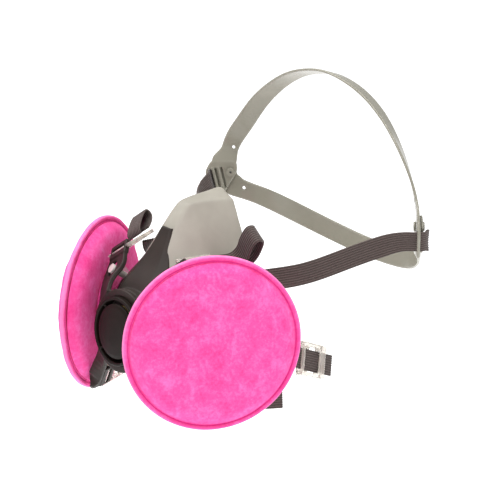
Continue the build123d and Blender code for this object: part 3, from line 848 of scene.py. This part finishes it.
def filter_pad(name, side, flip, shape):
    """One padded face of a filter, lumpy as laid fibre is."""
    points, faces = shape
    matrix = port_plane(side)
    turned = matrix @ Matrix.Rotation(math.pi, 4, "X") if flip else matrix
    pad = mesh_object(name, [turned @ p for p in points], faces)
    subdivision = pad.modifiers.new("subdivision", "SUBSURF")
    subdivision.levels = subdivision.render_levels = 1
    bpy.context.view_layer.update()
    evaluated(pad)
    inverse = turned.inverted()
    for vertex in pad.data.vertices:
        place = vertex.co / MM
        local = inverse @ (place + FACE_CENTRE)
        radius = math.hypot(local.x, local.y)
        if local.z > 1.6:
            fade = max(0.0, min(1.0, (47.5 - radius) / 4))
            lump = noise.noise(place * 0.07) * 0.5 + noise.noise(place * 0.22) * 0.22
            local.z += lump * fade + noise.noise(place * 0.8) * 0.07
            vertex.co = row(turned @ local)
    pad.data.shade_smooth()
    # Painted shade in the seam groove and a painted highlight on the edge.
    radial_rim_shading(pad, matrix)
    return pad


def filter_edge(name, side):
    """Welded rim of a filter: a pressed seam groove and a rounded, slightly raised edge."""
    matrix = port_plane(side)
    half = [(44.3, 0.9), (47.6, 1.0), (48.5, 1.15), (SEAM_RADIUS, 0.95)]
    half += [(49.6, 1.3), (50.6, 1.55), (51.5, 1.3), (52, 0.6)]
    face = [tuple(p) for p in spline(half, 3)]
    profile = face + [(r, -h) for r, h in reversed(face)]
    edge = lathe(name, matrix, profile, 192)
    for vertex in edge.data.vertices:
        place = vertex.co / MM
        vertex.co += matrix.col[2].xyz * noise.noise(place * 0.12) * 0.35 * MM
    # Painted shade in the seam groove and a painted highlight on the edge.
    radial_rim_shading(edge, matrix)
    return edge


# ---- straps and bands
def webbing(name, stations):
    """Ribbed elastic strap with rounded cords along it, and UVs in metres."""
    width, rib_depth = STRAP_WIDTH, 0.28
    samples = STRAP_RIBS * 6
    top = []
    for i in range(samples + 1):
        share = i / samples
        rib = 0.5 - 0.5 * math.cos(2 * math.pi * STRAP_RIBS * share)
        edge = min(1.0, math.sin(math.pi * share) * 9)
        top.append((share - 0.5, (STRAP_THICKNESS / 2 - rib_depth + rib_depth * rib) * max(edge, 0.3)))
    profile = [(x * width, y) for x, y in top] + [(x * width, -y) for x, y in reversed(top)]
    places = spline([tuple(place) for place, _ in stations], 16)
    across = spline([tuple(unit(wide)) for _, wide in stations], 16)
    line, at = evenly(np.hstack([places, across]), 0.9)
    rings, uvs = [], []
    for i, length in enumerate(at):
        place = Vector(line[i, :3])
        wide, out = strap_frame(line[:, :3], i, Vector(line[i, 3:]))
        rings.append([place + wide * x + out * y for x, y in profile])
        uvs += [(length * MM, (x + width / 2) * MM) for x, y in profile]
    return loft(name, rings, uvs)


def band(name, stations):
    """Smooth moulded band. Each station is (place, across, reach one way, reach the other)."""
    places = spline([place for place, *_ in stations], 16)
    across = spline([tuple(unit(wide)) for _, wide, *_ in stations], 16)
    reach = spline([(high, low, 0) for *_, high, low in stations], 16)
    line, _ = evenly(np.hstack([places, across, reach[:, :2]]), 1.6)
    half, soft = BAND_THICKNESS / 2, 0.5
    edge = [(-soft, half), (-soft / 3, half * 0.8), (0, 0), (-soft / 3, -half * 0.8), (-soft, -half)]
    rings = []
    for i in range(len(line)):
        place = Vector(line[i, :3])
        wide, out = strap_frame(line[:, :3], i, Vector(line[i, 3:6]))
        high, low = line[i, 6:]
        back = [(high - soft + (soft - low - high + soft) * k / 8, -half) for k in range(1, 8)]
        front = [(x, half) for x, _ in reversed(back)]
        profile = [(high + x, y) for x, y in edge] + back + [(-low - x, -y) for x, y in edge] + front
        rings.append([place + wide * x + out * y for x, y in profile])
    return loft(name, rings)


def rounded(corners, radius):
    """A 2-D outline with its corners rounded."""
    outline = []
    count, steps = len(corners), 5
    for i in range(count):
        before, here, after = (Vector(corners[(i + k) % count]) for k in (-1, 0, 1))
        reach = min(radius, (before - here).length / 2.05, (after - here).length / 2.05)
        start = here + (before - here).normalized() * reach
        end = here + (after - here).normalized() * reach
        for k in range(steps + 1):
            t = k / steps
            outline.append(start * (1 - t) ** 2 + here * 2 * t * (1 - t) + end * t**2)
    return outline


def plate(name, matrix, outline, thickness, bevel):
    """A flat moulding from a 2-D outline, with rounded edges."""
    curve = bpy.data.curves.new(name, "CURVE")
    curve.dimensions = "2D"
    curve.fill_mode = "BOTH"
    curve.extrude = (thickness / 2 - bevel) * MM
    curve.bevel_depth = bevel * MM
    curve.bevel_resolution = 2
    curve.offset = -bevel * MM
    line = curve.splines.new("POLY")
    line.points.add(len(outline) - 1)
    for point, corner in zip(line.points, outline):
        point.co = (corner[0] * MM, corner[1] * MM, 0, 1)
    line.use_cyclic_u = True
    drawn = link(bpy.data.objects.new(name + "_curve", curve))
    placed = matrix.copy()
    placed.translation = row(matrix.translation)
    bpy.context.view_layer.update()
    mesh = bpy.data.meshes.new_from_object(drawn)
    bpy.data.objects.remove(drawn)
    mesh.transform(placed)
    editable = bmesh.new()
    editable.from_mesh(mesh)
    bmesh.ops.remove_doubles(editable, verts=editable.verts, dist=0.000005)
    bmesh.ops.recalc_face_normals(editable, faces=editable.faces)
    editable.to_mesh(mesh)
    editable.free()
    return link(bpy.data.objects.new(name, mesh))


def ladder_plate(side):
    """Cradle end that flares into the crown band, with raised rungs between its slots."""
    parts = [plate("cradle_plate", cradle_plane(side), rounded(PLATE_OUTLINE, 3), PLATE_THICKNESS, 0.35)]
    for x in PLATE_RUNGS:
        size = (0.9, PLATE_SLOT + 1, PLATE_THICKNESS + 1)
        parts.append(block(leaning_plane(side), (x, PLATE_MIDDLE, 0), size))
    return parts


def crown_leg(side):
    """Crown band from a cradle end to the top, flared below. The left leg stands steeper."""
    half = BAND_WIDTH / 2
    # Each is the left and right legs' distance from the middle, back, up and across.
    leg = [
        ((82, 89.5), 160, 68, (0.72, -0.6, 0.3)),
        ((73.3, 79.5), 162, 83, (0.6, -0.7, 0.35)),
        ((59.5, 66), 164, 100, (0.4, -0.85, 0.4)),
        ((43.4, 50), 165.5, 114, (0.2, -0.92, 0.38)),
        ((28.2, 34), 165.5, 123, (0.1, -0.94, 0.34)),
        ((12.8, 17), 165, 128.3, (0.03, -0.95, 0.31)),
    ]
    flare = [((-3.5, 4), 9, 6.6), ((-4, 9.5), 9.2, 6.7)]
    wide = mirrored((0.75, -0.64, 0.1), side)
    stations = [(plate_point(side, *end, 0), wide, high, low) for end, high, low in flare]
    for (left, right), y, z, across in leg:
        place = (left if side > 0 else right, y, z)
        stations.append((mirrored(place, side), mirrored(across, side), half, half))
    stations[2] = (*stations[2][:2], half - 1.2, half)
    return stations


def rear_leg(side):
    """Rear band from a cradle end round to the back of the head, tapered up to its eye."""
    half = BAND_WIDTH / 2
    # Places on the left and right, and across. The ends are forward, up on each side, and extra reach.
    leg = [
        ((72.5, 170, 40.2), (76, 170, 38.5), (0, 0, 1)),
        ((57.5, 187, 28.8), (60, 187, 28), (0, 0.25, 1)),
        ((39, 204.5, 15.8), (40, 204.5, 15.5), (0, 0.3, 1)),
        ((20, 214.5, 8), (20, 214.5, 8), (0, 0.33, 1)),
    ]
    ends = [(-2.5, (-4.8, -5.3), 0, -1), (-8, (-5.4, -6.8), 2.4, 0), (-13, (-6.2, -8.2), 0.6, 0)]
    stations = []
    for forward, (left, right), high, low in ends:
        place = plate_point(side, forward, left if side > 0 else right, BAND_OFFSET)
        stations.append((place, (0, 0, 1), half + high, half + low))
    for left, right, across in leg:
        stations.append((mirrored(left if side > 0 else right, side), across, half, half))
    return stations


def plate_holes(matrix, small_hole, depth):
    """Tools for the stud's hole and the small hole beside it."""
    tools = []
    for place, radius in ((STUD_PLACE, STUD_RADIUS + 0.05), (small_hole, HOLE_RADIUS)):
        tools.append(disc(matrix @ Matrix.Translation((*place, 0)), radius, -depth, depth, segments=32))
    return tools


def band_moulding(name, parts, tools):
    moulding = moulded(joined(name, parts), voxel=0.45, smoothing=2)
    cut(moulding, joined("tools", tools))
    return moulded(moulding, voxel=0.42, smoothing=4)


def crown_moulding():
    """Band over the crown, with a ladder plate at each end."""
    top = ((0, 165, 130), (0, -0.95, 0.31), BAND_WIDTH / 2, BAND_WIDTH / 2)
    parts = [band("crown", crown_leg(1) + [top] + crown_leg(-1)[::-1])]
    slots, holes = [], []
    for side in SIDES.values():
        parts += ladder_plate(side)
        for x, width in PLATE_SLOTS.items():
            slots.append(block(leaning_plane(side), (x, PLATE_MIDDLE, 0), (width, PLATE_SLOT, 8)))
        holes += plate_holes(cradle_plane(side), CROWN_HOLE, 6)
    return band_moulding("crown_band_moulding", parts, slots + holes)


def rear_moulding():
    """Band round the back of the head, with an eye at each end outside the plate."""
    back = ((0, 217, 6), (0, 0.35, 1), BAND_WIDTH / 2, BAND_WIDTH / 2)
    parts, holes = [band("rear", rear_leg(1) + [back] + rear_leg(-1)[::-1])], []
    for side in SIDES.values():
        matrix = cradle_plane(side) @ Matrix.Translation((0, 0, -side * BAND_OFFSET))
        eye = rounded([leaned(x, y) for x, y in EYE_CORNERS], 2.5)
        parts.append(plate("eye", matrix, eye, BAND_THICKNESS, 0.3))
        holes += plate_holes(matrix, REAR_HOLE, 5)
    return band_moulding("rear_band_moulding", parts, holes)


def buckle_plane(side):
    return slot_plane(side, UPPER_SLOT, UPPER_BAR, UPPER_BUCKLES[side])


def upper_route(side):
    """Elastic from the upper buckle to the cradle, out through the front slot and back."""
    if side > 0:
        middle = [(44.5, 64, 29), (50.5, 77, 28.5), (57.5, 94, 30), (67, 115, 36), (79, 136, 43.5)]
    else:
        middle = [(44.5, 64, 30), (50.5, 77, 26), (57.5, 94, 25.3), (67, 115, 31), (90, 137.5, 43)]
    turns = [(-0.6, 0.1, 0.8), (-0.4, 0, 1), (-0.2, 0, 1), (-0.15, 0, 1), (-0.1, 0, 1)]
    stations = [(tuple(buckle_plane(side) @ Vector((0, 27, -4))), mirrored(UPPER_BAR, side))]
    stations += [(mirrored(place, side), mirrored(turn, side)) for place, turn in zip(middle, turns)]
    lean, (cosine, sine) = math.radians(PLATE_LEAN), PLATE_TURN
    upright = (side * cosine * math.sin(lean), -sine * math.sin(lean), math.cos(lean))
    for x, y, out in ((5.4, -1, -6), (5.4, -1, 3), (2, -2, 5.4), (-2.5, -5, 5.6)):
        stations.append((plate_point(side, *leaned(x, y), out), upright))
    return stations


def tail_route(side):
    """Loop of spare webbing that stands above the upper buckle, as (along, out) of its plane."""
    if side > 0:
        route = [(19, 2.2), (27, 3), (33, 3.8), (35.4, 9), (34.8, 15), (34.8, 20.4), (36.4, 25.2)]
        route += [(39.8, 25.2), (42, 20), (42.3, 13), (40.6, 6.5), (36, 2.6), (30, 1), (24.5, 0.6)]
    else:
        route = [(16, 2.2), (16.5, 4.6), (20.5, 8.4), (26, 11.8), (30.3, 12.4), (31.3, 9.8)]
        route += [(28.5, 5.8), (23.5, 3.2)]
    matrix = buckle_plane(side)
    return [(tuple(matrix @ Vector((0, along, out))), tuple(matrix.col[0].xyz)) for along, out in route]


def lower_routes(side):
    """The lower webbing through its neck clasp, and its spare end."""
    upright = (-side * 0.25, 0, 1)
    main = [mirrored(p, side) for p in ((39.6, 43.4, -37), (45, 60, -31), (50, 79, -23))]
    main += [clasp_point(side, reach) for reach in (-14, -10.5, 20)]
    spare = [(40, 43.2, -39), (44, 56, -41.5), (47, 70, -44), (48.5, 86, -46.5)]
    spare = [mirrored(p, side) for p in spare]
    return [(p, upright) for p in main], [(p, upright) for p in spare]


# ---- build
# The third colour of each moulding is the painted highlight on its convex edges.
elastomer = moulding_material(
    "seal_elastomer", (150, 145, 134), (162, 157, 146), (178, 174, 163), 0.5, 900, 0.00004
)
frame_plastic = moulding_material(
    "frame_plastic", (40, 33, 30), (50, 42, 38), (92, 84, 78), 0.46, Specular_IOR_Level=0.22
)
cover_plastic = moulding_material(
    "cover_plastic", (22, 15, 12), (28, 21, 17), (60, 51, 46), 0.5, 1200, Specular_IOR_Level=0.14
)
cradle_plastic = moulding_material(
    "cradle_plastic", (134, 131, 118), (142, 139, 126), (160, 157, 145), 0.24, 700, 0.00002
)
valve_rubber = moulding_material("valve_rubber", (206, 186, 120), (222, 204, 142), (236, 222, 170), 0.4, 700)
gasket_rubber = moulding_material("gasket_rubber", (48, 46, 46), (60, 58, 57), (84, 82, 80), 0.6, 900)
hub_plastic = moulding_material("hub_plastic", (196, 40, 120), (214, 56, 138), (238, 110, 176), 0.35, 1100)
post_plastic = moulding_material(
    "post_plastic", (196, 186, 182), (220, 212, 208), (240, 236, 232), 0.35, 1100
)
media = media_material()
elastic = webbing_material("webbing", (50, 41, 39), (100, 88, 84))
clear = clear_material()

finished(facepiece_cup(), elastomer, ROOT, "seal_elastomer", "face_seal")
finished(nose_frame(), frame_plastic, ROOT, "frame_plastic", "front_frame")
finished(yoke_moulding(), frame_plastic, ROOT, "frame_plastic", "harness_yoke")
finished(cover_moulding(), cover_plastic, ROOT, "frame_plastic", "exhalation_cover")
finished(crown_moulding(), cradle_plastic, ROOT, "cradle_plastic", "crown_band")
finished(rear_moulding(), cradle_plastic, ROOT, "cradle_plastic", "rear_band")
softened("exhalation_seat", frame_plastic)
softened("exhalation_flap", valve_rubber, 0.15)

shapes = {"front": simulated_pad("pad_trial", 0), "back": simulated_pad("pad_trial", 16.5)}
for name, side in SIDES.items():
    filter_body = name + "_filter"
    for face, shape in shapes.items():
        pad = filter_pad(f"{name}_filter_{face}_pad", side, face == "back", shape)
        finished(pad, media, filter_body, "filter_media", f"{name}_filter_{face}")
    edge = filter_edge(name + "_filter_edge", side)
    finished(edge, media, filter_body, "filter_media", name + "_filter_rim")
    for kind in ("_filter_hub", "_filter_spacer"):
        softened(name + kind, hub_plastic)
    for kind in ("_port", "_port_ring"):
        softened(name + kind, frame_plastic)
    softened(name + "_port_gasket", gasket_rubber)
    softened(name + "_inhalation_flap", valve_rubber, 0.15)
    softened(name + "_yoke_post", post_plastic)
    softened(name + "_cradle_stud", cradle_plastic)

    upper_body = name + "_upper_buckle"
    lower_body = name + "_lower_strap"
    for kind in ("_upper_buckle", "_lower_buckle", "_neck_clasp"):
        body = upper_body if kind == "_upper_buckle" else lower_body
        piece = moulded(copy_of(name + kind, name + kind + "_moulding"), voxel=0.3, smoothing=2)
        finished(piece, clear, body, "clear_plastic", name + kind)
    tail = webbing(name + "_upper_tail_webbing", tail_route(side))
    finished(tail, elastic, upper_body, "webbing", name + "_upper_tail")
    route = upper_route(side)
    strap = webbing(name + "_upper_webbing", route)
    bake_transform(strap)
    finished(strap, elastic, None, "webbing", name + "_upper_elastic")
    for kind, route in zip(("_lower_webbing", "_lower_spare_webbing"), lower_routes(side)):
        finished(webbing(name + kind, route), elastic, lower_body, "webbing", name + "_lower_elastic")


# ---- stage, light and camera
def stage_floor():
    """Plain pale floor well below the object, so that it takes only a faint soft shadow."""
    material, _, shader = new_material("pale_floor")
    shader.inputs["Base Color"].default_value = (0.92, 0.92, 0.92, 1)
    shader.inputs["Roughness"].default_value = 0.9
    shader.inputs["Emission Color"].default_value = (1, 1, 1, 1)
    shader.inputs["Emission Strength"].default_value = 0.75
    mesh = bpy.data.meshes.new("floor")
    corners = [(x * FLOOR_REACH, y * FLOOR_REACH) for x, y in ((-1, -1), (1, -1), (1, 1), (-1, 1))]
    depth = CAD_BOX[0].z - FLOOR_DROP
    mesh.from_pydata([(x, y, depth) for x, y in corners], [], [(0, 1, 2, 3)])
    mesh.materials.append(material)
    link(bpy.data.objects.new("floor", mesh))


def aimed(obj, target, azimuth, elevation, distance):
    """Places a light or camera at a distance from its target, and turns it that way."""
    a, e = math.radians(azimuth), math.radians(elevation)
    back = Vector((math.sin(a) * math.cos(e), -math.cos(a) * math.cos(e), math.sin(e)))
    obj.location = target + back * distance
    obj.rotation_euler = (-back).to_track_quat("-Z", "Y").to_euler()


def soft_light(name, azimuth, elevation, distance, size, power):
    """Square area light that faces the middle of the object."""
    data = bpy.data.lights.new(name, "AREA")
    data.size = size
    data.energy = power
    light = link(bpy.data.objects.new(name, data))
    aimed(light, (CAD_BOX[0] + CAD_BOX[1]) / 2, azimuth, elevation, distance)


def studio():
    """White surroundings, fainter as light than as backdrop, and four soft lights."""
    scene = bpy.context.scene
    scene.view_settings.view_transform = "Standard"
    world = bpy.data.worlds.new("studio")
    world.use_nodes = True
    background = world.node_tree.nodes["Background"]
    background.inputs["Color"].default_value = (1, 1, 1, 1)
    paths = world.node_tree.nodes.new("ShaderNodeLightPath")
    strength = world.node_tree.nodes.new("ShaderNodeMapRange")
    strength.inputs["To Min"].default_value = WORLD_LIGHT
    strength.inputs["To Max"].default_value = WORLD_BACKDROP
    world.node_tree.links.new(paths.outputs["Is Camera Ray"], strength.inputs["Value"])
    world.node_tree.links.new(strength.outputs[0], background.inputs["Strength"])
    scene.world = world
    soft_light("key", azimuth=25, elevation=50, distance=1.1, size=0.6, power=3.5)
    soft_light("fill", azimuth=110, elevation=25, distance=1.4, size=0.9, power=2.5)
    soft_light("top", azimuth=80, elevation=82, distance=1.0, size=0.6, power=6)
    soft_light("side", azimuth=-65, elevation=55, distance=1.2, size=0.6, power=7)


def camera():
    """Long lens from the wearer's front left, a little above."""
    data = bpy.data.cameras.new("camera")
    data.sensor_width = 36
    data.lens = 180.7
    data.clip_start, data.clip_end = 0.05, 60
    view = link(bpy.data.objects.new("camera", data))
    aimed(view, Vector(CAMERA_TARGET), azimuth=50, elevation=16, distance=1.45)
    bpy.context.scene.camera = view


stage_floor()
studio()
camera()
